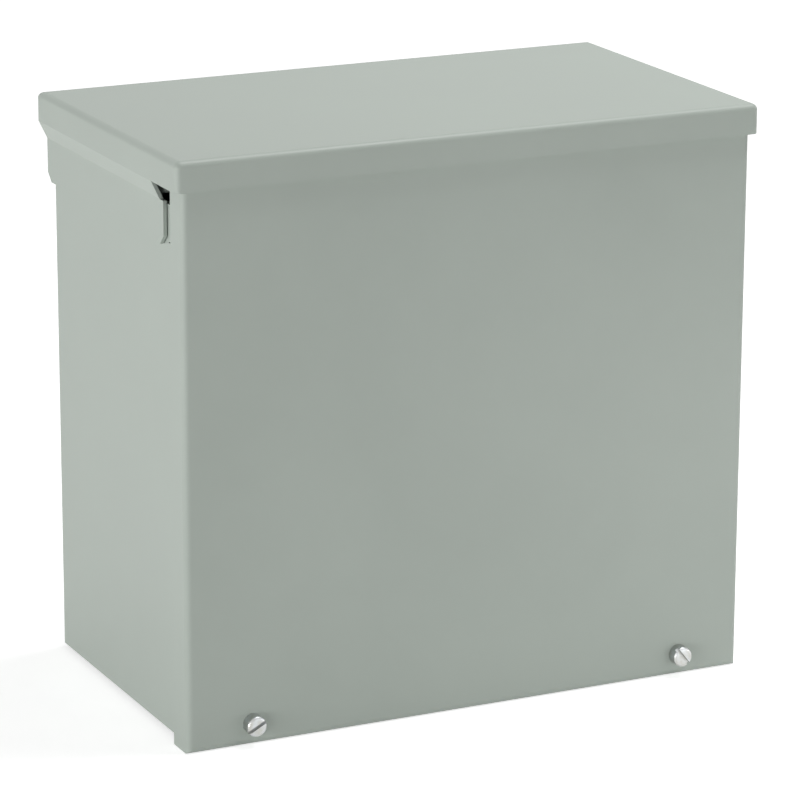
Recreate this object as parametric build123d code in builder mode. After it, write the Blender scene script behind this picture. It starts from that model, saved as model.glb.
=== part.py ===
"""Rainproof wall box of folded sheet steel, with a drip cap and a slip-on front cover.

Millimetres, +Z up, front facing -Y. The origin is the middle of the four wall holes, on the wall's face.
"""

import os
from math import hypot

from build123d import *

# Sheet metal
sheet = 1.5  # thickness of every folded sheet
bend = 1.2  # inside radius of a fold
seam = 0.3  # gap between the ends of two sheets
overrun = 5.0  # how far a cut runs past what it cuts

# Body shell: back, sides and inward front flanges, stepped back behind the cap's front lip
body_width = 254.0
body_height = 246.0
body_depth = 144.5
body_flange = 14.0
step_setback = 27.1  # behind the cover's face
step_height = 22.0  # from the cap's top
step_flange = 10.0
fold_relief = 3.0  # cut where two folds meet

# Embossed pads with the wall holes
wall_hole = 7.2
wall_hole_inset_x = 25.4  # from the body's side
wall_hole_inset_z = 27.75  # from the body's top and bottom
pad_face = 15.0
pad_base = 22.0
pad_height = 3.5

# Drip cap
lip_height = 12.8
lip_overhang = 5.8  # side lip beyond the body's side
lip_gap = 0.5  # front lip to the cover's face
draw_in_drop = 7.8  # height of the slope below a side lip
slope_lead = 3.0  # in front of the step's flanges
skirt_height = 39.2  # from the cap's top
skirt_lead = 6.5  # in front of the step's flanges
skirt_gap = 0.5  # to the body's side
skirt_trim = 4.0  # cut corners of the skirt

# Front cover
cover_flange = 14.5
flange_cutback = 2.6  # of the side flanges, beside the cap's skirt
cutback_height = 36.2  # from the cap's top
cover_gap = 1.6  # to the body's front
cover_side_gap = 1.2
cover_bottom_gap = 0.8
cover_top_gap = 1.0

# Cover screws, each with the ring that keeps it captive
screw_inset = 26.5  # from the body's side
screw_rise = 9.5  # above the cover's bottom
screw_thread = 4.8
screw_length = 11.0
screw_tip = 0.8
head_diameter = 8.8
head_height = 5.4
head_round = 1.2
slot_width = 1.4
slot_depth = 2.0
slot_turns = {"left": 28.0, "right": -52.0}  # degrees
screw_clearance = 0.4  # round the thread, in the cover and in the bushes
retainer_diameter = 9.0
retainer_thickness = 0.8
retainer_play = 0.4  # behind the cover's sheet
push_fit = 0.05  # round a thread that carries a ring or a nut

# Bottom panel
sill_height = 20.0
floor_flange = 14.0
bush_wall = 0.9
bush_length = 3.5
drain_diameter = 6.4
drain_inset = 52.0  # from the body's side
drain_setback = 24.0  # in front of the back wall

# Top header, between the step's flanges
header_leg = 14.0

# Mounting panel and its studs
panel_side_margin = 22.0  # to the body's side
panel_end_margin = 26.0  # to the body's top and bottom
panel_thickness = 2.0
panel_corner = 28.0
panel_hole = 7.0
panel_hole_inset_x = 19.0  # from the panel's side
panel_hole_inset_z = 31.0  # from the panel's top and bottom
collar_diameter = 11.0
collar_length = 12.0
stud_thread = 6.0
stud_end = 3.0  # thread past the nut
stud_tip = 0.7
washer_diameter = 12.5
washer_thickness = 1.6
nut_flats = 10.0
nut_height = 5.0
nut_chamfer = 0.5

# Bonding terminal on the right side
ground_rise = 62.0  # above the body's bottom
ground_setback = 48.0  # behind the body's front
tang_thickness = 2.0
tang_width = 14.0
tang_height = 17.0
barrel_height = 14.0
barrel_depth = 12.0
wire_bore = 7.0
lug_screw_thread = 6.0
lug_screw_stand = 2.5
lug_slot_width = 1.2
lug_slot_depth = 1.5

# Derived: fold radius, distances out from the wall, heights and half widths
fold = sheet + bend
back_out = pad_height
back_inner_out = back_out + sheet
front_out = back_out + body_depth
cover_inner_out = front_out + cover_gap
cover_out = cover_inner_out + sheet
lip_out = cover_out + lip_gap + sheet
cap_back_out = back_out - sheet
step_out = cover_out - step_setback
slope_front_out = step_out + slope_lead
skirt_front_out = step_out + skirt_lead
body_top = body_height / 2
body_bottom = -body_height / 2
cap_top = body_top + sheet
shell_top = body_top - bend  # clear of the fold inside the cap's back lip
step_bottom = cap_top - step_height
lip_bottom = cap_top - lip_height
slope_foot = lip_bottom - draw_in_drop
skirt_bottom = cap_top - skirt_height
cover_bottom = body_bottom - cover_bottom_gap - sheet
cover_top = body_top - cover_top_gap
cutback_bottom = cap_top - cutback_height
screw_height = cover_bottom + screw_rise
body_side = body_width / 2
body_inner_side = body_side - sheet
skirt_inner_side = body_side + skirt_gap
skirt_side = skirt_inner_side + sheet
lip_side = body_side + lip_overhang
header_side = body_side - step_flange - seam
cover_side = body_side + cover_side_gap + sheet
wall_hole_span_x = body_width - 2 * wall_hole_inset_x
wall_hole_span_z = body_height - 2 * wall_hole_inset_z
screw_span = body_width - 2 * screw_inset
drain_span = body_width - 2 * drain_inset
panel_width = body_width - 2 * panel_side_margin
panel_height = body_height - 2 * panel_end_margin
panel_span_x = panel_width - 2 * panel_hole_inset_x
panel_span_z = panel_height - 2 * panel_hole_inset_z
panel_out = back_inner_out + collar_length
washer_out = panel_out + panel_thickness
nut_out = washer_out + washer_thickness
stud_out = nut_out + nut_height + stud_end

os.makedirs("parts", exist_ok=True)


def save(piece, name):
    """Label a finished piece and write its STEP file."""
    piece.label = name
    export_step(piece, f"parts/{name}.step")


def front_plane(out):
    """The plane at a distance out from the wall, facing the front."""
    return Plane.XZ.offset(out)


def wall_plane(out):
    """The plane at a distance out from the wall, facing the wall."""
    return Plane((0, -out, 0), x_dir=(-1, 0, 0), z_dir=(0, 1, 0))


def side_plane(x):
    """The plane at a place across the box, facing the left side."""
    return Plane((x, 0, 0), x_dir=(0, -1, 0), z_dir=(-1, 0, 0))


def box_between(x, outs, heights, mode=Mode.ADD):
    """A box between two places across, two distances out from the wall and two heights."""
    with Locations(((x[0] + x[1]) / 2, -(outs[0] + outs[1]) / 2, (heights[0] + heights[1]) / 2)):
        Box(x[1] - x[0], outs[1] - outs[0], heights[1] - heights[0], mode=mode)


def shell_section(depth, flange):
    """A section through the shell: its back, sides and inward front flanges."""
    with BuildSketch() as section:
        with Locations((0, -(back_out + depth / 2))):
            RectangleRounded(body_width, depth, fold)
            RectangleRounded(body_width - 2 * sheet, depth - 2 * sheet, bend, mode=Mode.SUBTRACT)
        with Locations((0, sheet - back_out - depth)):
            Rectangle(
                body_width - 2 * flange,
                sheet + overrun,
                align=(Align.CENTER, Align.MAX),
                mode=Mode.SUBTRACT,
            )
    return section.sketch


def cap_block(inset, radius, bottom):
    """The cap's outline as a solid block, drawn in at the sides below the drip lip."""
    side = lip_side - inset
    waist = skirt_side - inset
    run = lip_side - skirt_side
    rise = inset * (hypot(run, draw_in_drop) - draw_in_drop) / run
    slope_top = lip_bottom + rise
    slope_bottom = slope_top - draw_in_drop
    outer = side + overrun
    lower = bottom - overrun
    with BuildPart() as block:
        box_between((-side, side), (cap_back_out + inset, lip_out - inset), (bottom, cap_top - inset))
        top_edges = block.faces().sort_by(Axis.Z)[-1].edges()
        front_corners = block.edges().filter_by(Axis.Z).group_by(Axis.Y)[0]
        fillet(top_edges + front_corners, radius=radius)
        with BuildSketch(Plane.XZ):
            with BuildLine():
                Polyline(
                    (outer, slope_top),
                    (side, slope_top),
                    (waist, slope_bottom),
                    (waist, lower),
                    (outer, lower),
                    close=True,
                )
            make_face()
            mirror(about=Plane.YZ)
        extrude(amount=lip_out + overrun, mode=Mode.SUBTRACT)
    return block.part


def hex_nut(out, across, up, plane_at):
    """A plain hexagon nut on a stud of the box, seated at a distance along the stud."""
    with BuildPart() as nut:
        with BuildSketch(plane_at(out)):
            with Locations((across, up)):
                RegularPolygon(nut_flats / 2, 6, major_radius=False)
                Circle(stud_thread / 2 + push_fit, mode=Mode.SUBTRACT)
        extrude(amount=nut_height)
        rim = nut.faces().filter_by(GeomType.PLANE).filter_by(lambda f: f.inner_wires()).edges()
        chamfer(rim.filter_by(GeomType.LINE), length=nut_chamfer)
    return nut.part


def washer(out, across, up, plane_at):
    """A plain washer under such a nut."""
    with BuildPart() as ring:
        with BuildSketch(plane_at(out)):
            with Locations((across, up)):
                Circle(washer_diameter / 2)
                Circle(stud_thread / 2 + push_fit, mode=Mode.SUBTRACT)
        extrude(amount=washer_thickness)
    return ring.part


# Body shell
with BuildPart() as body_shell:
    with BuildSketch(Plane.XY.offset(body_bottom)):
        add(shell_section(body_depth, body_flange))
    extrude(amount=step_bottom - body_bottom)
    with BuildSketch(Plane.XY.offset(step_bottom)):
        add(shell_section(step_out - back_out, step_flange))
    extrude(amount=shell_top - step_bottom)
    # The lower flanges end above the sill, and the upper ones above a relief cut
    box_between(
        (-body_inner_side, body_inner_side),
        (front_out - fold, front_out + overrun),
        (body_bottom - overrun, body_bottom + sill_height + seam),
        Mode.SUBTRACT,
    )
    box_between(
        (-body_side - overrun, body_side + overrun),
        (step_out - fold, step_out + overrun),
        (step_bottom, step_bottom + fold_relief),
        Mode.SUBTRACT,
    )
    # Each pad is pressed out of the sheet towards the wall
    with Locations(wall_plane(back_out)):
        with GridLocations(wall_hole_span_x, wall_hole_span_z, 2, 2):
            Cone(pad_base / 2, pad_face / 2, pad_height, align=(Align.CENTER, Align.CENTER, Align.MIN))
    with Locations(wall_plane(back_inner_out)):
        with GridLocations(wall_hole_span_x, wall_hole_span_z, 2, 2):
            Cone(
                pad_base / 2,
                pad_face / 2,
                pad_height,
                align=(Align.CENTER, Align.CENTER, Align.MIN),
                mode=Mode.SUBTRACT,
            )
            Cylinder(
                wall_hole / 2,
                back_inner_out + overrun,
                align=(Align.CENTER, Align.CENTER, Align.MIN),
                mode=Mode.SUBTRACT,
            )
save(body_shell.part, "body_shell")

# Bottom panel: floor, upturned flanges, rolled bushes and drain holes
with BuildPart() as bottom_panel:
    box_between(
        (-body_inner_side, body_inner_side),
        (back_inner_out, front_out),
        (body_bottom, body_bottom + sill_height),
    )
    fillet(bottom_panel.faces().sort_by(Axis.Z)[0].edges(), radius=fold)
with BuildPart() as floor_hollow:
    box_between(
        (sheet - body_inner_side, body_inner_side - sheet),
        (back_inner_out + sheet, front_out - sheet),
        (body_bottom + sheet, body_bottom + sill_height + overrun),
    )
    fillet(floor_hollow.faces().sort_by(Axis.Z)[0].edges(), radius=bend)
with bottom_panel:
    add(floor_hollow.part, mode=Mode.SUBTRACT)
    box_between(
        (-body_side, body_side),
        (back_out, front_out - fold),
        (body_bottom + floor_flange, body_bottom + sill_height + overrun),
        Mode.SUBTRACT,
    )
    for x in (-body_inner_side, body_inner_side):
        for out in (back_inner_out, front_out):
            box_between(
                (x - fold_relief, x + fold_relief),
                (out - fold_relief, out + fold_relief),
                (body_bottom - overrun, body_bottom + sill_height + overrun),
                Mode.SUBTRACT,
            )
    with BuildSketch(front_plane(front_out)):
        with Locations((0, screw_height)), GridLocations(screw_span, 0, 2, 1):
            Circle(screw_thread / 2 + screw_clearance + bush_wall)
    extrude(amount=-(sheet + bush_length))
    with BuildSketch(front_plane(front_out)):
        with Locations((0, screw_height)), GridLocations(screw_span, 0, 2, 1):
            Circle(screw_thread / 2 + screw_clearance)
    extrude(amount=-(sheet + bush_length), mode=Mode.SUBTRACT)
    with BuildSketch(Plane.XY.offset(body_bottom)):
        with Locations((0, -(back_out + drain_setback))), GridLocations(drain_span, 0, 2, 1):
            Circle(drain_diameter / 2)
    extrude(amount=sheet, mode=Mode.SUBTRACT)
save(bottom_panel.part, "bottom_panel")

# Drip cap
with BuildPart() as drip_cap:
    add(cap_block(0, fold, skirt_bottom))
    add(cap_block(sheet, bend, skirt_bottom - overrun), mode=Mode.SUBTRACT)
    # The skirt and the slope above it stop short of the cover's flanges
    box_between(
        (-lip_side - overrun, lip_side + overrun),
        (skirt_front_out, lip_out + overrun),
        (skirt_bottom - overrun, lip_bottom),
        Mode.SUBTRACT,
    )
    box_between(
        (-lip_side - overrun, lip_side + overrun),
        (slope_front_out, lip_out + overrun),
        (slope_foot, lip_bottom),
        Mode.SUBTRACT,
    )
    # The back lip is as short as the front one
    box_between(
        (-skirt_inner_side, skirt_inner_side),
        (cap_back_out - overrun, back_out),
        (skirt_bottom - overrun, lip_bottom),
        Mode.SUBTRACT,
    )
    chamfer(drip_cap.edges().filter_by(Axis.X).group_by(Axis.Z)[0], length=skirt_trim)
save(drip_cap.part, "drip_cap")

# Top header
with BuildPart() as top_header:
    with BuildSketch(Plane.YZ.offset(-header_side)):
        with BuildLine():
            Polyline(
                (-step_out, body_top),
                (header_leg - step_out, body_top),
                (header_leg - step_out, body_top - sheet),
                (sheet - step_out, body_top - sheet),
                (sheet - step_out, step_bottom),
                (-step_out, step_bottom),
                close=True,
            )
        make_face()
    extrude(amount=2 * header_side)
    long_edges = top_header.edges().filter_by(Axis.X).group_by(Axis.Y)
    fillet(long_edges[0].sort_by(Axis.Z)[-1], radius=fold)
    fillet(long_edges[1].sort_by(Axis.Z)[-1], radius=bend)
save(top_header.part, "top_header")

# Front cover
with BuildPart() as front_cover:
    box_between(
        (-cover_side, cover_side), (cover_out - cover_flange, cover_out), (cover_bottom, cover_top)
    )
    fillet(front_cover.faces().sort_by(Axis.Y)[0].edges().sort_by(Axis.Z)[:-1], radius=fold)
with BuildPart() as cover_hollow:
    box_between(
        (sheet - cover_side, cover_side - sheet),
        (cover_out - cover_flange - overrun, cover_inner_out),
        (cover_bottom + sheet, cover_top + overrun),
    )
    fillet(cover_hollow.faces().sort_by(Axis.Y)[0].edges().sort_by(Axis.Z)[:-1], radius=bend)
with front_cover:
    add(cover_hollow.part, mode=Mode.SUBTRACT)
    with BuildSketch(front_plane(cover_inner_out)):
        with Locations((0, screw_height)), GridLocations(screw_span, 0, 2, 1):
            Circle(screw_thread / 2 + screw_clearance)
    extrude(amount=sheet, mode=Mode.SUBTRACT)
    box_between(
        (-cover_side - overrun, cover_side + overrun),
        (cover_out - cover_flange - overrun, cover_out - cover_flange + flange_cutback),
        (cutback_bottom, cover_top + overrun),
        Mode.SUBTRACT,
    )
save(front_cover.part, "front_cover")

# Cover screws and their retaining rings
for side, place in (("left", -screw_span / 2), ("right", screw_span / 2)):
    with BuildPart() as cover_screw:
        with BuildSketch(front_plane(cover_out)):
            with Locations((place, screw_height)):
                Circle(head_diameter / 2)
        extrude(amount=head_height)
        fillet(cover_screw.faces().sort_by(Axis.Y)[0].edges(), radius=head_round)
        with BuildSketch(front_plane(cover_out + head_height)):
            with Locations((place, screw_height)):
                Rectangle(head_diameter + overrun, slot_width, rotation=slot_turns[side])
        extrude(amount=-slot_depth, mode=Mode.SUBTRACT)
        with BuildSketch(front_plane(cover_out)):
            with Locations((place, screw_height)):
                Circle(screw_thread / 2)
        extrude(amount=-screw_length)
        chamfer(cover_screw.faces().sort_by(Axis.Y)[-1].edges(), length=screw_tip)
    save(cover_screw.part, f"cover_screw_{side}")
    with BuildPart() as screw_retainer:
        with BuildSketch(front_plane(cover_inner_out - retainer_play)):
            with Locations((place, screw_height)):
                Circle(retainer_diameter / 2)
                Circle(screw_thread / 2 + push_fit, mode=Mode.SUBTRACT)
        extrude(amount=-retainer_thickness)
    save(screw_retainer.part, f"screw_retainer_{side}")

# Mounting panel
with BuildPart() as mounting_panel:
    with BuildSketch(front_plane(panel_out)) as panel_outline:
        Rectangle(panel_width, panel_height)
        chamfer(panel_outline.vertices(), length=panel_corner)
        with GridLocations(panel_span_x, panel_span_z, 2, 2):
            Circle(panel_hole / 2, mode=Mode.SUBTRACT)
    extrude(amount=panel_thickness)
save(mounting_panel.part, "mounting_panel")

# Studs, washers and nuts of the mounting panel
panel_places = [
    (x, z) for x in (-panel_span_x / 2, panel_span_x / 2) for z in (-panel_span_z / 2, panel_span_z / 2)
]
for number, (x, z) in enumerate(panel_places, 1):
    with BuildPart() as panel_stud:
        with BuildSketch(front_plane(back_inner_out)):
            with Locations((x, z)):
                Circle(collar_diameter / 2)
        extrude(amount=collar_length)
        with BuildSketch(front_plane(panel_out)):
            with Locations((x, z)):
                Circle(stud_thread / 2)
        extrude(amount=stud_out - panel_out)
        chamfer(panel_stud.faces().sort_by(Axis.Y)[0].edges(), length=stud_tip)
    save(panel_stud.part, f"panel_stud_{number}")
    save(washer(washer_out, x, z, front_plane), f"panel_washer_{number}")
    save(hex_nut(nut_out, x, z, front_plane), f"panel_nut_{number}")

# Bonding terminal: stud, lug, washer, nut and the lug's screw
ground_out = front_out - ground_setback
ground_height = body_bottom + ground_rise
tang_face = body_inner_side - tang_thickness
washer_face = tang_face - washer_thickness
barrel_bottom = ground_height + tang_height / 2
barrel_middle = barrel_bottom + barrel_height / 2
barrel_face = body_inner_side - barrel_depth
stud_reach = tang_thickness + washer_thickness + nut_height + stud_end
with BuildPart() as ground_stud:
    with BuildSketch(side_plane(body_inner_side)):
        with Locations((ground_out, ground_height)):
            Circle(stud_thread / 2)
    extrude(amount=stud_reach)
    chamfer(ground_stud.faces().sort_by(Axis.X)[0].edges(), length=stud_tip)
save(ground_stud.part, "ground_stud")
with BuildPart() as ground_lug:
    box_between(
        (tang_face, body_inner_side),
        (ground_out - tang_width / 2, ground_out + tang_width / 2),
        (ground_height - tang_height / 2, barrel_bottom),
    )
    box_between(
        (barrel_face, body_inner_side),
        (ground_out - tang_width / 2, ground_out + tang_width / 2),
        (barrel_bottom, barrel_bottom + barrel_height),
    )
    with BuildSketch(side_plane(body_inner_side)):
        with Locations((ground_out, ground_height)):
            Circle(stud_thread / 2 + push_fit)
    extrude(amount=tang_thickness, mode=Mode.SUBTRACT)
    with BuildSketch(front_plane(ground_out - tang_width / 2)):
        with Locations((body_inner_side - barrel_depth / 2, barrel_middle)):
            Circle(wire_bore / 2)
    extrude(amount=tang_width, mode=Mode.SUBTRACT)
    with BuildSketch(side_plane(barrel_face)):
        with Locations((ground_out, barrel_middle)):
            Circle(lug_screw_thread / 2 + push_fit)
    extrude(amount=-(barrel_depth / 2), mode=Mode.SUBTRACT)
save(ground_lug.part, "ground_lug")
save(washer(-tang_face, ground_out, ground_height, lambda x: side_plane(-x)), "ground_washer")
save(hex_nut(-washer_face, ground_out, ground_height, lambda x: side_plane(-x)), "ground_nut")
with BuildPart() as lug_screw:
    with BuildSketch(side_plane(barrel_face - lug_screw_stand)):
        with Locations((ground_out, barrel_middle)):
            Circle(lug_screw_thread / 2)
    extrude(amount=-(lug_screw_stand + (barrel_depth - wire_bore) / 2))
    with BuildSketch(side_plane(barrel_face - lug_screw_stand)):
        with Locations((ground_out, barrel_middle)):
            Rectangle(lug_screw_thread + overrun, lug_slot_width)
    extrude(amount=-lug_slot_depth, mode=Mode.SUBTRACT)
save(lug_screw.part, "lug_screw")
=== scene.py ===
"""Looks of a rainproof wall box of folded sheet steel, made round its CAD frame."""

import math

import bmesh
import bpy
from bpy.props import FloatProperty, FloatVectorProperty, PointerProperty
from mathutils import Matrix, Quaternion, Vector


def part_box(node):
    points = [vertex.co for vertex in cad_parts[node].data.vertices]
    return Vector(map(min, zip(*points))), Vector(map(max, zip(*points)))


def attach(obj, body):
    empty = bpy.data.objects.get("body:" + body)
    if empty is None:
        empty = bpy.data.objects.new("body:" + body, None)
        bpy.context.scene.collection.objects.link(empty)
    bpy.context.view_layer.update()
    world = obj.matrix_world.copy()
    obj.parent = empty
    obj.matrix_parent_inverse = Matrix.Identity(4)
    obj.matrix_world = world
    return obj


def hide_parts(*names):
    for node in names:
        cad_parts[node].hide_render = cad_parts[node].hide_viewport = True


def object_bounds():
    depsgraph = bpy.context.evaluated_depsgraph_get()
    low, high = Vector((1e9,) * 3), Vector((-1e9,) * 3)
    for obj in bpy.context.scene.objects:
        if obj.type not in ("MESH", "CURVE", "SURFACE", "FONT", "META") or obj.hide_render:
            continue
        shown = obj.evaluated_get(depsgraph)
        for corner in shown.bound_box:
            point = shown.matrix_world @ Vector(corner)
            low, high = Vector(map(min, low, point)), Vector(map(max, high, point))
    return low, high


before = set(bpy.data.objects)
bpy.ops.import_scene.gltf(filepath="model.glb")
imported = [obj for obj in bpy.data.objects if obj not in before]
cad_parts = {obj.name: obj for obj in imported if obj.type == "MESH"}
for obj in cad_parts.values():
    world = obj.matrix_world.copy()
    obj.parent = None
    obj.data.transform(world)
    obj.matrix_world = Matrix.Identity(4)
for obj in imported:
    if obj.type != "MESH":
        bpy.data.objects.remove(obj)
cad_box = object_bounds()

bl_info = {
    "name": "Rainproof Wall Box",
    "version": (1, 0, 0),
    "blender": (4, 5, 0),
    "location": "3D View > Sidebar > Wall Box",
    "description": "Paints a sheet-steel wall box, threads its fasteners and sets its stage",
    "category": "Object",
}

MILLIMETRE = 0.001
FOLDED_SHEETS = ("body_shell", "bottom_panel", "drip_cap", "top_header", "front_cover")
SIDES = ("left", "right")
CORNERS = (1, 2, 3, 4)

# From a piece that is made standing up to the way it lies in the box
UPSIDE_DOWN = Matrix.Rotation(math.radians(180), 4, "X")
FACING_FRONT = Matrix.Rotation(math.radians(90), 4, "X")
FACING_LEFT = Matrix.Rotation(math.radians(-90), 4, "Y")

# Sockets of a colour mix, whose names are shared with its other kinds of value
MIX_FIRST = 6
MIX_SECOND = 7
MIX_RESULT = 2

# How a finish drifts: the stretch of noise that is used, and the change of roughness
CLOUD_LOW = 0.35
CLOUD_HIGH = 0.65
PAINT_GLOSS_DRIFT = 0.03  # either way
METAL_GLOSS_DRIFT = (-0.05, 0.07)

# Bumps of the paint's skin and of the tool marks on metal
PEEL_STRENGTH = 0.35
MARK_STRENGTH = 0.25
MARK_PITCH = 0.3 * MILLIMETRE
MARK_DEPTH = 0.02 * MILLIMETRE

# A thread's profile, in shares of its pitch
THREAD_DEPTH = 0.55
FLANK_START = 0.2
CREST_START = 0.52
CREST_END = 0.66

THREAD_STEPS = 28  # round one turn
TIP_TAPER = 0.3  # of the radius, at the thread's end
SEAT = 0.3 * MILLIMETRE  # how far a thread runs into its head or collar

# Heads and collars
DISC_SEGMENTS = 64
HEAD_ROUND_STEPS = 8
EDGE_ROUND_STEPS = 2
HEAD_EDGE = 0.15 * MILLIMETRE
COLLAR_EDGE = 0.3 * MILLIMETRE
SHARP_ANGLE = math.radians(32)

# How near counts as the same place
MERGE_DISTANCE = 0.002 * MILLIMETRE
CUT_TOLERANCE = 0.0002 * MILLIMETRE
LEVEL_TOLERANCE = 0.0001 * MILLIMETRE

FULL_LIFT = 3  # times the lit reach, where the floor is lifted in full
SENSOR_WIDTH = 36.0  # millimetres, as a camera counts


def linear(colour):
    """Turn an sRGB hex colour into linear red, green and blue."""
    shares = [int(colour[place : place + 2], 16) / 255 for place in (1, 3, 5)]
    return tuple(s / 12.92 if s <= 0.04045 else ((s + 0.055) / 1.055) ** 2.4 for s in shares)


def add_node(tree, kind, settings=None, inputs=None):
    """Add a node with its settings, and set or link its inputs by name or number."""
    node = tree.nodes.new(kind)
    for name, value in (settings or {}).items():
        setattr(node, name, value)
    for key, value in (inputs or {}).items():
        if isinstance(value, bpy.types.NodeSocket):
            tree.links.new(value, node.inputs[key])
        else:
            node.inputs[key].default_value = value
    return node


def start_material(name):
    """Make an empty node material, and give it with its tree and the piece's own coordinates."""
    material = bpy.data.materials.new(name)
    material.use_nodes = True
    material.node_tree.nodes.clear()
    place = add_node(material.node_tree, "ShaderNodeTexCoord").outputs["Object"]
    return material, material.node_tree, place


def drifting_finish(tree, place, pitch, colours, roughness):
    """Let a finish drift between two colours and two roughnesses in soft clouds."""
    cloud = add_node(
        tree, "ShaderNodeTexNoise", inputs={"Vector": place, "Scale": 1 / pitch, "Detail": 3.0}
    )
    share = add_node(
        tree,
        "ShaderNodeMapRange",
        inputs={"Value": cloud.outputs["Fac"], "From Min": CLOUD_LOW, "From Max": CLOUD_HIGH},
    ).outputs["Result"]
    first, second = colours
    tone = add_node(
        tree,
        "ShaderNodeMix",
        {"data_type": "RGBA"},
        {"Factor": share, MIX_FIRST: (*first, 1), MIX_SECOND: (*second, 1)},
    )
    lowest, highest = roughness
    gloss = add_node(
        tree, "ShaderNodeMapRange", inputs={"Value": share, "To Min": lowest, "To Max": highest}
    )
    return {"Base Color": tone.outputs[MIX_RESULT], "Roughness": gloss.outputs["Result"]}


def finish_material(tree, inputs):
    """Add the surface with its inputs, and send it to the material's output."""
    surface = add_node(tree, "ShaderNodeBsdfPrincipled", inputs=inputs)
    add_node(tree, "ShaderNodeOutputMaterial", inputs={"Surface": surface.outputs["BSDF"]})


def powder_paint(name, full_coat, thin_coat, settings):
    """Make satin polyester powder paint, which was sprayed on sheet steel and baked."""
    # It flows to a skin with a fine orange peel, which breaks up the edge of a reflection,
    # and its thickness drifts a little, so the tone and the gloss drift too
    material, tree, place = start_material(name)
    peel = add_node(
        tree,
        "ShaderNodeTexNoise",
        inputs={"Vector": place, "Scale": 1 / settings.peel_pitch, "Detail": 1.5},
    )
    skin = add_node(
        tree,
        "ShaderNodeBump",
        inputs={
            "Height": peel.outputs["Fac"],
            "Strength": PEEL_STRENGTH,
            "Distance": settings.peel_height,
        },
    )
    roughness = (settings.roughness - PAINT_GLOSS_DRIFT, settings.roughness + PAINT_GLOSS_DRIFT)
    paint = drifting_finish(tree, place, settings.tone_pitch, (thin_coat, full_coat), roughness)
    paint["IOR"] = 1.5
    paint["Normal"] = skin.outputs["Normal"]
    finish_material(tree, paint)
    return material


def drawn_metal(name, colours, roughness, cloud_pitch):
    """Make the bare or plated metal of a rolled, pressed or turned piece."""
    # A plating or an oxide lies unevenly, so the tone and the gloss drift in small clouds,
    # and the marks of the tools make the highlight soft
    material, tree, place = start_material(name)
    # The marks are drawn further apart than real ones, so that they show
    marks = add_node(
        tree, "ShaderNodeTexNoise", inputs={"Vector": place, "Scale": 1 / MARK_PITCH}
    )
    grain = add_node(
        tree,
        "ShaderNodeBump",
        inputs={
            "Height": marks.outputs["Fac"],
            "Strength": MARK_STRENGTH,
            "Distance": MARK_DEPTH,
        },
    )
    drifts = [roughness + change for change in METAL_GLOSS_DRIFT]
    metal = drifting_finish(tree, place, cloud_pitch, colours, drifts)
    metal["Metallic"] = 1.0
    metal["Normal"] = grain.outputs["Normal"]
    finish_material(tree, metal)
    return material


def zinc_plate():
    """Give the zinc plate that the box's fasteners share."""
    # Bright zinc on steel is silver, with faint blue and straw clouds
    name = "Bright zinc plate"
    colours = (linear("#B6B6B1"), linear("#C4C7C9"))
    return bpy.data.materials.get(name) or drawn_metal(
        name, colours, roughness=0.34, cloud_pitch=3 * MILLIMETRE
    )


def turned_brass():
    """Make the brass of the bonding terminal's nut."""
    # Plain turned brass is warm and bright, a little duller where hands have touched it
    colours = (linear("#BF9A55"), linear("#CDAA66"))
    return drawn_metal("Turned brass", colours, roughness=0.3, cloud_pitch=4 * MILLIMETRE)


def tinned_aluminium():
    """Make the tinned aluminium of the bonding terminal's lug."""
    # Tin over extruded aluminium is a soft, even, pale grey
    colours = (linear("#C2C2BE"), linear("#CFCFCC"))
    return drawn_metal("Tinned aluminium", colours, roughness=0.4, cloud_pitch=5 * MILLIMETRE)


def moulded_nylon():
    """Make the natural nylon of the screws' retaining rings."""
    # Moulded nylon is milky, faintly warm and softly glossy, with flow marks
    material, tree, place = start_material("Natural nylon")
    colours = (linear("#D0CCBF"), linear("#DAD6CA"))
    nylon = drifting_finish(
        tree, place, pitch=2.5 * MILLIMETRE, colours=colours, roughness=(0.4, 0.5)
    )
    nylon["IOR"] = 1.53
    finish_material(tree, nylon)
    return material


def dress_node(node, material):
    """Give a CAD node its finish."""
    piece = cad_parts[node]
    if not piece.material_slots:
        piece.data.materials.append(None)
    for place in piece.material_slots:
        place.material = material


def add_fastener(name, bm, node, body):
    """Make a plated piece from a bmesh, in place of a CAD node, riding on the node's body."""
    bmesh.ops.recalc_face_normals(bm, faces=bm.faces)
    mesh = bpy.data.meshes.new(name)
    bm.to_mesh(mesh)
    bm.free()
    mesh.materials.append(zinc_plate())
    mesh.shade_smooth()
    mesh.set_sharp_from_angle(angle=SHARP_ANGLE)
    piece = bpy.data.objects.new(name, mesh)
    bpy.context.scene.collection.objects.link(piece)
    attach(piece, body)
    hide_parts(node)


def level_edges(edges, height):
    """Pick the edges that lie level at a height."""
    return [e for e in edges if all(abs(v.co.z - height) < LEVEL_TOLERANCE for v in e.verts)]


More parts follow.
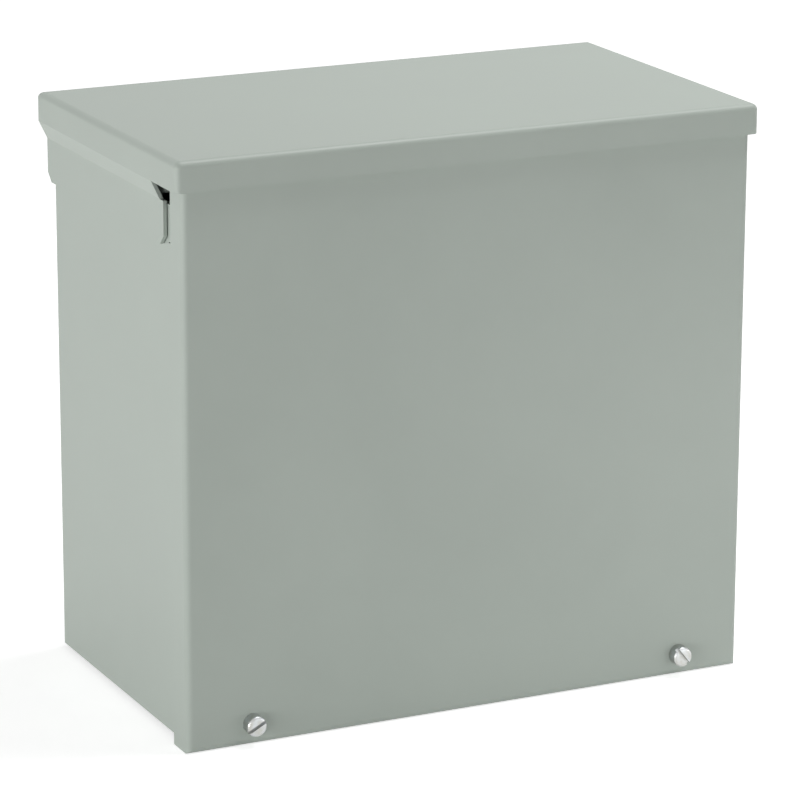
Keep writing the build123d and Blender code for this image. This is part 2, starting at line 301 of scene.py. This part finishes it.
def turn_thread(bm, crest, pitch, length, tip):
    """Wind a thread up the upright axis from the origin, and close its ends."""
    turns = math.ceil(length / pitch) + 2
    root = crest - THREAD_DEPTH * pitch
    corners = (
        (root, 0),
        (root, FLANK_START),
        (crest, CREST_START),
        (crest, CREST_END),
        (root, 1),
    )
    # It starts one pitch too low and runs on too far, and both ends are cut off level
    verts = [bm.verts.new((radius, 0, share * pitch - pitch)) for radius, share in corners]
    edges = [bm.edges.new(pair) for pair in zip(verts, verts[1:])]
    bmesh.ops.spin(
        bm,
        geom=verts + edges,
        cent=(0, 0, 0),
        axis=(0, 0, 1),
        dvec=(0, 0, pitch / THREAD_STEPS),
        angle=math.tau * turns,
        steps=THREAD_STEPS * turns,
    )
    bmesh.ops.remove_doubles(bm, verts=bm.verts, dist=MERGE_DISTANCE)
    for height, way in ((0, -1), (length, 1)):
        bmesh.ops.bisect_plane(
            bm,
            geom=bm.verts[:] + bm.edges[:] + bm.faces[:],
            dist=CUT_TOLERANCE,
            plane_co=(0, 0, height),
            plane_no=(0, 0, way),
            clear_outer=True,
        )
        rim = level_edges([e for e in bm.edges if e.is_boundary], height)
        bmesh.ops.holes_fill(bm, edges=rim, sides=0)
    # The end tapers in, so that a nut starts on it
    for vert in bm.verts:
        near = max(0.0, vert.co.z - (length - tip)) / tip
        narrowing = 1 - TIP_TAPER * near
        vert.co.x *= narrowing
        vert.co.y *= narrowing


def add_disc(bm, radius, bottom, top, rims):
    """Add an upright disc to an empty bmesh, and round its rims."""
    bmesh.ops.create_cone(
        bm,
        cap_ends=True,
        segments=DISC_SEGMENTS,
        radius1=radius,
        radius2=radius,
        depth=top - bottom,
        matrix=Matrix.Translation((0, 0, (bottom + top) / 2)),
    )
    for height, rounding, steps in rims:
        bmesh.ops.bevel(
            bm,
            geom=level_edges(bm.edges, height),
            offset=rounding,
            segments=steps,
            profile=0.5,
            affect="EDGES",
            material=-1,
        )


def cut_slot(bm, reach, width, depth, top, turn):
    """Mill a driver slot straight across the top of an upright head."""
    cutter_bm = bmesh.new()
    size = Matrix.Diagonal((2 * reach, width, 2 * depth, 1))
    place = Matrix.Translation((0, 0, top)) @ Matrix.Rotation(turn, 4, "Z")
    bmesh.ops.create_cube(cutter_bm, size=1, matrix=place @ size)
    pieces = []
    for name, part in (("slot head", bm), ("slot cutter", cutter_bm)):
        mesh = bpy.data.meshes.new(name)
        part.to_mesh(mesh)
        pieces.append(bpy.data.objects.new(name, mesh))
        bpy.context.scene.collection.objects.link(pieces[-1])
    head, cutter = pieces
    milling = head.modifiers.new("slot", "BOOLEAN")
    milling.object = cutter
    milling.operation = "DIFFERENCE"
    milling.solver = "EXACT"
    depsgraph = bpy.context.evaluated_depsgraph_get()
    milled = bpy.data.meshes.new_from_object(head.evaluated_get(depsgraph))
    bm.clear()
    bm.from_mesh(milled)
    cutter_bm.free()
    # A mesh that is removed takes its object with it
    for piece in pieces:
        bpy.data.meshes.remove(piece.data)
    bpy.data.meshes.remove(milled)


def join_thread(bm, place, crest, pitch, length, tip):
    """Add a thread to a bmesh that already holds a head or a collar."""
    thread_bm = bmesh.new()
    turn_thread(thread_bm, crest, pitch, length, tip)
    bmesh.ops.transform(thread_bm, matrix=place, verts=thread_bm.verts)
    mesh = bpy.data.meshes.new("thread")
    thread_bm.to_mesh(mesh)
    thread_bm.free()
    bm.from_mesh(mesh)
    bpy.data.meshes.remove(mesh)


class PaintSettings(bpy.types.PropertyGroup):
    """Colours and texture of the powder paint."""

    grey: FloatVectorProperty(
        name="Grey",
        description="Paint of the box and its cover",
        subtype="COLOR",
        size=3,
        min=0,
        max=1,
        default=linear("#B1BAB2"),
    )
    grey_drift: FloatVectorProperty(
        name="Grey drift",
        description="The grey where the coat is thinner",
        subtype="COLOR",
        size=3,
        min=0,
        max=1,
        default=linear("#ADB6AE"),
    )
    white: FloatVectorProperty(
        name="White",
        description="Paint of the mounting panel",
        subtype="COLOR",
        size=3,
        min=0,
        max=1,
        default=linear("#E3E3DE"),
    )
    white_drift: FloatVectorProperty(
        name="White drift",
        description="The white where the coat is thinner",
        subtype="COLOR",
        size=3,
        min=0,
        max=1,
        default=linear("#DEDED8"),
    )
    roughness: FloatProperty(
        name="Roughness",
        description="Roughness of the baked paint",
        subtype="FACTOR",
        min=0,
        max=1,
        default=0.48,
    )
    peel_pitch: FloatProperty(
        name="Orange peel pitch",
        description="Distance from one ripple of the paint's skin to the next",
        unit="LENGTH",
        min=0.0002,
        default=1.8 * MILLIMETRE,
        precision=4,
    )
    peel_height: FloatProperty(
        name="Orange peel height",
        description="Height of the ripples",
        unit="LENGTH",
        min=0,
        default=0.03 * MILLIMETRE,
        precision=5,
    )
    tone_pitch: FloatProperty(
        name="Tone pitch",
        description="Distance over which the coat's tone drifts",
        unit="LENGTH",
        min=0.001,
        default=70 * MILLIMETRE,
    )


class FastenerSettings(bpy.types.PropertyGroup):
    """Sizes of the screws and studs that the CAD leaves plain."""

    head_height: FloatProperty(
        name="Screw head height",
        description="Height of a cover screw's pan head",
        unit="LENGTH",
        default=5.4 * MILLIMETRE,
        precision=4,
    )
    head_round: FloatProperty(
        name="Screw head rounding",
        description="Rounding of a cover screw's head",
        unit="LENGTH",
        default=1.2 * MILLIMETRE,
        precision=4,
    )
    slot_width: FloatProperty(
        name="Slot width",
        description="Width of a driver slot",
        unit="LENGTH",
        default=1.4 * MILLIMETRE,
        precision=4,
    )
    slot_depth: FloatProperty(
        name="Slot depth",
        description="Depth of a driver slot",
        unit="LENGTH",
        default=2.0 * MILLIMETRE,
        precision=4,
    )
    lug_slot_width: FloatProperty(
        name="Lug slot width",
        description="Width of the wire screw's slot",
        unit="LENGTH",
        default=1.2 * MILLIMETRE,
        precision=4,
    )
    lug_slot_depth: FloatProperty(
        name="Lug slot depth",
        description="Depth of the wire screw's slot",
        unit="LENGTH",
        default=1.5 * MILLIMETRE,
        precision=4,
    )
    left_turn: FloatProperty(
        name="Left slot turn",
        description="Where the left cover screw came to rest",
        subtype="ANGLE",
        default=math.radians(28),
    )
    right_turn: FloatProperty(
        name="Right slot turn",
        description="Where the right cover screw came to rest",
        subtype="ANGLE",
        default=math.radians(-52),
    )
    screw_thread: FloatProperty(
        name="Screw thread",
        description="Outer radius of a cover screw's thread",
        unit="LENGTH",
        default=2.4 * MILLIMETRE,
        precision=4,
    )
    screw_pitch: FloatProperty(
        name="Screw pitch",
        description="Pitch of a cover screw's thread",
        unit="LENGTH",
        default=1.05 * MILLIMETRE,
        precision=5,
    )
    stud_thread: FloatProperty(
        name="Stud thread",
        description="Outer radius of a stud's thread",
        unit="LENGTH",
        default=3.0 * MILLIMETRE,
        precision=4,
    )
    stud_pitch: FloatProperty(
        name="Stud pitch",
        description="Pitch of a stud's thread",
        unit="LENGTH",
        default=1.0 * MILLIMETRE,
        precision=5,
    )
    collar_length: FloatProperty(
        name="Collar length",
        description="Length of the collar that holds the mounting panel off the back",
        unit="LENGTH",
        default=12.0 * MILLIMETRE,
        precision=4,
    )
    tip: FloatProperty(
        name="Thread tip",
        description="Length over which a thread's end tapers in",
        unit="LENGTH",
        default=0.8 * MILLIMETRE,
        precision=4,
    )


class StageSettings(bpy.types.PropertyGroup):
    """Camera, lamps and floor."""

    target: FloatVectorProperty(
        name="Target",
        description="Point that the camera looks at",
        subtype="TRANSLATION",
        size=3,
        default=(0.00326, -0.075, -0.0095),
    )
    azimuth: FloatProperty(
        name="Azimuth",
        description="How far the camera stands round to the right of the cover",
        subtype="ANGLE",
        default=math.radians(-25.79),
    )
    elevation: FloatProperty(
        name="Elevation",
        description="How far the camera stands above the box",
        subtype="ANGLE",
        default=math.radians(16.08),
    )
    roll: FloatProperty(
        name="Roll",
        description="Tilt of the camera about its own axis",
        subtype="ANGLE",
        default=math.radians(0.21),
    )
    distance: FloatProperty(
        name="Distance",
        description="From the camera to its target",
        unit="LENGTH",
        default=1.7906,
    )
    lens: FloatProperty(
        name="Lens",
        description="Focal length on a 36 mm frame",
        unit="CAMERA",
        default=186.475,
    )
    ambient: FloatProperty(
        name="Ambient",
        description="Light of the white room round the box",
        subtype="FACTOR",
        min=0,
        max=1,
        default=0.27,
    )
    left_power: FloatProperty(
        name="Left lamp",
        description="Power of the wide softbox on the left",
        unit="POWER",
        default=9.0,
    )
    top_power: FloatProperty(
        name="Top lamp",
        description="Power of the softbox overhead",
        unit="POWER",
        default=15.5,
    )
    front_power: FloatProperty(
        name="Front lamp",
        description="Power of the low strip light in front",
        unit="POWER",
        default=0.28,
    )
    floor_lift: FloatProperty(
        name="Floor lift",
        description="What brings the lit floor up to white, to the eye and in reflections",
        subtype="FACTOR",
        min=0,
        max=1,
        default=0.67,
    )
    lit_reach: FloatProperty(
        name="Lit reach",
        description="How far from the box the lamps light the floor in full",
        unit="LENGTH",
        min=0.1,
        default=1.0,
    )
    floor_size: FloatProperty(
        name="Floor size",
        description="Width of the floor",
        unit="LENGTH",
        default=12.0,
    )


class WallBoxSettings(bpy.types.PropertyGroup):
    """All the settings of the box's looks."""

    paint: PointerProperty(type=PaintSettings)
    fasteners: PointerProperty(type=FastenerSettings)
    stage: PointerProperty(type=StageSettings)


class WALLBOX_OT_folded_sheets(bpy.types.Operator):
    """Paint the shell, floor, cap, header and cover"""

    bl_idname = "wallbox.folded_sheets"
    bl_label = "Paint Folded Sheets"

    def execute(self, context):
        paint = context.scene.wall_box.paint
        grey = powder_paint("Grey polyester powder paint", paint.grey, paint.grey_drift, paint)
        for node in FOLDED_SHEETS:
            dress_node(node, grey)
        return {"FINISHED"}


class WALLBOX_OT_mounting_panel(bpy.types.Operator):
    """Paint the mounting panel"""

    bl_idname = "wallbox.mounting_panel"
    bl_label = "Paint Mounting Panel"

    def execute(self, context):
        paint = context.scene.wall_box.paint
        white = powder_paint("White polyester powder paint", paint.white, paint.white_drift, paint)
        dress_node("mounting_panel", white)
        return {"FINISHED"}


class WALLBOX_OT_cover_screws(bpy.types.Operator):
    """Make the two slotted cover screws"""

    bl_idname = "wallbox.cover_screws"
    bl_label = "Make Cover Screws"

    def execute(self, context):
        sizes = context.scene.wall_box.fasteners
        for side, turn in zip(SIDES, (sizes.left_turn, sizes.right_turn)):
            node = f"cover_screw_{side}"
            low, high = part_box(node)
            middle = (low + high) / 2
            radius = (high.x - low.x) / 2
            under = -sizes.head_height
            dome = (0, sizes.head_round, HEAD_ROUND_STEPS)
            edge = (under, HEAD_EDGE, EDGE_ROUND_STEPS)
            bm = bmesh.new()
            add_disc(bm, radius, under, 0, (dome, edge))
            cut_slot(bm, 2 * radius, sizes.slot_width, sizes.slot_depth, 0, turn)
            shank_place = Matrix.Translation((0, 0, under + SEAT)) @ UPSIDE_DOWN
            shank_length = high.y - low.y - sizes.head_height + SEAT
            join_thread(
                bm, shank_place, sizes.screw_thread, sizes.screw_pitch, shank_length, sizes.tip
            )
            place = Matrix.Translation((middle.x, low.y, middle.z))
            bmesh.ops.transform(bm, matrix=place @ FACING_FRONT, verts=bm.verts)
            add_fastener(f"slotted_screw_{side}", bm, node, f"{side}_screw")
        return {"FINISHED"}


class WALLBOX_OT_screw_retainers(bpy.types.Operator):
    """Finish the rings that keep the cover screws captive"""

    bl_idname = "wallbox.screw_retainers"
    bl_label = "Finish Screw Retainers"

    def execute(self, context):
        nylon = moulded_nylon()
        for side in SIDES:
            dress_node(f"screw_retainer_{side}", nylon)
        return {"FINISHED"}


class WALLBOX_OT_panel_studs(bpy.types.Operator):
    """Make the mounting panel's four collar studs, and plate their washers and nuts"""

    bl_idname = "wallbox.panel_studs"
    bl_label = "Make Panel Studs"

    def execute(self, context):
        sizes = context.scene.wall_box.fasteners
        for corner in CORNERS:
            node = f"panel_stud_{corner}"
            low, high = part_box(node)
            middle = (low + high) / 2
            radius = (high.x - low.x) / 2
            seat = sizes.collar_length - SEAT
            edge = (sizes.collar_length, COLLAR_EDGE, EDGE_ROUND_STEPS)
            bm = bmesh.new()
            add_disc(bm, radius, 0, sizes.collar_length, (edge,))
            stud_place = Matrix.Translation((0, 0, seat))
            stud_length = high.y - low.y - seat
            join_thread(
                bm, stud_place, sizes.stud_thread, sizes.stud_pitch, stud_length, sizes.tip
            )
            place = Matrix.Translation((middle.x, high.y, middle.z))
            bmesh.ops.transform(bm, matrix=place @ FACING_FRONT, verts=bm.verts)
            add_fastener(f"collar_stud_{corner}", bm, node, "enclosure")
            dress_node(f"panel_washer_{corner}", zinc_plate())
            dress_node(f"panel_nut_{corner}", zinc_plate())
        return {"FINISHED"}


class WALLBOX_OT_bonding_terminal(bpy.types.Operator):
    """Make the bonding terminal's stud and screw, and finish its lug, washer and nut"""

    bl_idname = "wallbox.bonding_terminal"
    bl_label = "Make Bonding Terminal"

    def execute(self, context):
        sizes = context.scene.wall_box.fasteners
        for node, name in (("ground_stud", "bonding_stud"), ("lug_screw", "wire_screw")):
            low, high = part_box(node)
            middle = (low + high) / 2
            length = high.x - low.x
            bm = bmesh.new()
            turn_thread(bm, sizes.stud_thread, sizes.stud_pitch, length, sizes.tip)
            if node == "lug_screw":
                reach = 2 * sizes.stud_thread
                cut_slot(bm, reach, sizes.lug_slot_width, sizes.lug_slot_depth, length, 0)
            place = Matrix.Translation((high.x, middle.y, middle.z))
            bmesh.ops.transform(bm, matrix=place @ FACING_LEFT, verts=bm.verts)
            add_fastener(name, bm, node, "enclosure")
        dress_node("ground_washer", zinc_plate())
        dress_node("ground_nut", turned_brass())
        dress_node("ground_lug", tinned_aluminium())
        return {"FINISHED"}


class WALLBOX_OT_stage(bpy.types.Operator):
    """Set the floor, the white room, the lamps and the camera"""

    bl_idname = "wallbox.stage"
    bl_label = "Set Stage"

    def execute(self, context):
        scene = context.scene
        stage = scene.wall_box.stage
        scene.view_settings.view_transform = "Standard"
        self.lay_floor(scene, stage)
        self.light_room(scene, stage)
        self.hang_lamps(scene, stage)
        self.set_camera(scene, stage)
        return {"FINISHED"}

    def lay_floor(self, scene, stage):
        """Lay a white floor under the box."""
        bm = bmesh.new()
        bmesh.ops.create_grid(
            bm,
            x_segments=1,
            y_segments=1,
            size=stage.floor_size / 2,
            matrix=Matrix.Translation((0, 0, cad_box[0].z)),
        )
        mesh = bpy.data.meshes.new("floor")
        bm.to_mesh(mesh)
        bm.free()
        mesh.materials.append(self.white_paper(stage))
        floor = bpy.data.objects.new("floor", mesh)
        scene.collection.objects.link(floor)

    def white_paper(self, stage):
        """Make paper that keeps the box's shadow and isn't seen from below."""
        # Uncoated paper is matt, with a faint mottle a few centimetres across
        material, tree, place = start_material("White paper")
        colours = (linear("#E6E6E6"), linear("#E9E9E9"))
        paper = drifting_finish(
            tree, place, pitch=25 * MILLIMETRE, colours=colours, roughness=(0.0, 0.1)
        )
        matt = add_node(
            tree,
            "ShaderNodeBsdfDiffuse",
            inputs={"Color": paper["Base Color"], "Roughness": paper["Roughness"]},
        )
        # The lamps light only the paper near the box, so the lift grows away from it
        away = add_node(tree, "ShaderNodeVectorMath", {"operation": "LENGTH"}, {0: place})
        share = add_node(
            tree,
            "ShaderNodeMapRange",
            inputs={
                "Value": away.outputs["Value"],
                "From Min": stage.lit_reach,
                "From Max": FULL_LIFT * stage.lit_reach,
                "To Min": stage.floor_lift,
                "To Max": 1.0,
            },
        )
        lift = add_node(
            tree,
            "ShaderNodeMath",
            {"operation": "MULTIPLY"},
            {0: self.seen_rays(tree), 1: share.outputs["Result"]},
        )
        glow = add_node(tree, "ShaderNodeEmission", inputs={"Strength": lift.outputs[0]})
        upper = add_node(
            tree, "ShaderNodeAddShader", inputs={0: matt.outputs[0], 1: glow.outputs[0]}
        )
        clear = add_node(tree, "ShaderNodeBsdfTransparent")
        under = add_node(tree, "ShaderNodeNewGeometry").outputs["Backfacing"]
        both = add_node(
            tree,
            "ShaderNodeMixShader",
            inputs={0: under, 1: upper.outputs[0], 2: clear.outputs[0]},
        )
        add_node(tree, "ShaderNodeOutputMaterial", inputs={"Surface": both.outputs[0]})
        return material

    def light_room(self, scene, stage):
        """Make a room that looks white, and lights the box at a plain level."""
        world = bpy.data.worlds.new("White room")
        world.use_nodes = True
        tree = world.node_tree
        tree.nodes.clear()
        white = (1, 1, 1, 1)
        walls = add_node(
            tree, "ShaderNodeBackground", inputs={"Color": white, "Strength": stage.ambient}
        )
        backdrop = add_node(
            tree, "ShaderNodeBackground", inputs={"Color": white, "Strength": 1.0}
        )
        room = add_node(
            tree,
            "ShaderNodeMixShader",
            inputs={0: self.seen_rays(tree), 1: walls.outputs[0], 2: backdrop.outputs[0]},
        )
        add_node(tree, "ShaderNodeOutputWorld", inputs={"Surface": room.outputs[0]})
        scene.world = world

    def seen_rays(self, tree):
        """Tell the eye, reflections and glass from the rays that light the box."""
        rays = add_node(tree, "ShaderNodeLightPath").outputs
        outright = add_node(
            tree,
            "ShaderNodeMath",
            {"operation": "MAXIMUM"},
            {0: rays["Is Camera Ray"], 1: rays["Is Glossy Ray"]},
        )
        seen = add_node(
            tree,
            "ShaderNodeMath",
            {"operation": "MAXIMUM"},
            {0: outright.outputs[0], 1: rays["Is Transmission Ray"]},
        )
        return seen.outputs[0]

    def hang_lamps(self, scene, stage):
        """Hang softboxes on the left and overhead, and a low strip light in front."""
        lamps = (
            ("left softbox", (-1.2, -0.4, -0.02), (2.0, 0.2), stage.left_power),
            ("top softbox", (0.6, -0.16, 1.5), (0.7, 0.7), stage.top_power),
            ("low strip", (0.3, -0.45, -0.1), (0.4, 0.04), stage.front_power),
        )
        middle = (cad_box[0] + cad_box[1]) / 2
        for name, place, size, power in lamps:
            data = bpy.data.lights.new(name, "AREA")
            data.shape = "RECTANGLE"
            data.size, data.size_y = size
            data.energy = power
            lamp = bpy.data.objects.new(name, data)
            lamp.location = place
            lamp.visible_camera = False
            lamp.rotation_mode = "QUATERNION"
            lamp.rotation_quaternion = (middle - Vector(place)).to_track_quat("-Z", "Y")
            scene.collection.objects.link(lamp)

    def set_camera(self, scene, stage):
        """Set a long lens at the front left, a little above the box."""
        data = bpy.data.cameras.new("camera")
        data.sensor_width = SENSOR_WIDTH
        data.lens = stage.lens
        flat = math.cos(stage.elevation)
        back = Vector(
            (
                math.sin(stage.azimuth) * flat,
                -math.cos(stage.azimuth) * flat,
                math.sin(stage.elevation),
            )
        )
        camera = bpy.data.objects.new("camera", data)
        camera.location = Vector(stage.target) + back * stage.distance
        camera.rotation_mode = "QUATERNION"
        level = (-back).to_track_quat("-Z", "Y")
        camera.rotation_quaternion = level @ Quaternion((0, 0, 1), stage.roll)
        scene.collection.objects.link(camera)
        scene.camera = camera


STEPS = (
    WALLBOX_OT_folded_sheets,
    WALLBOX_OT_mounting_panel,
    WALLBOX_OT_cover_screws,
    WALLBOX_OT_screw_retainers,
    WALLBOX_OT_panel_studs,
    WALLBOX_OT_bonding_terminal,
    WALLBOX_OT_stage,
)


class WALLBOX_PT_sidebar(bpy.types.Panel):
    """Lists the steps and the settings"""

    bl_idname = "WALLBOX_PT_sidebar"
    bl_label = "Wall Box"
    bl_space_type = "VIEW_3D"
    bl_region_type = "UI"
    bl_category = "Wall Box"

    def draw(self, context):
        for step in STEPS:
            self.layout.operator(step.bl_idname)
        settings = context.scene.wall_box
        for group in (settings.paint, settings.fasteners, settings.stage):
            column = self.layout.column()
            for name in group.__annotations__:
                column.prop(group, name)


CLASSES = (
    PaintSettings,
    FastenerSettings,
    StageSettings,
    WallBoxSettings,
    *STEPS,
    WALLBOX_PT_sidebar,
)


def register():
    """Register the classes and the scene's settings."""
    for kind in CLASSES:
        bpy.utils.register_class(kind)
    bpy.types.Scene.wall_box = PointerProperty(type=WallBoxSettings)


def unregister():
    """Take the settings and the classes away again."""
    del bpy.types.Scene.wall_box
    for kind in reversed(CLASSES):
        bpy.utils.unregister_class(kind)


def main():
    """Make every piece and the stage."""
    register()
    bpy.ops.wallbox.folded_sheets()
    bpy.ops.wallbox.mounting_panel()
    bpy.ops.wallbox.cover_screws()
    bpy.ops.wallbox.screw_retainers()
    bpy.ops.wallbox.panel_studs()
    bpy.ops.wallbox.bonding_terminal()
    bpy.ops.wallbox.stage()


if __name__ == "__main__":
    main()
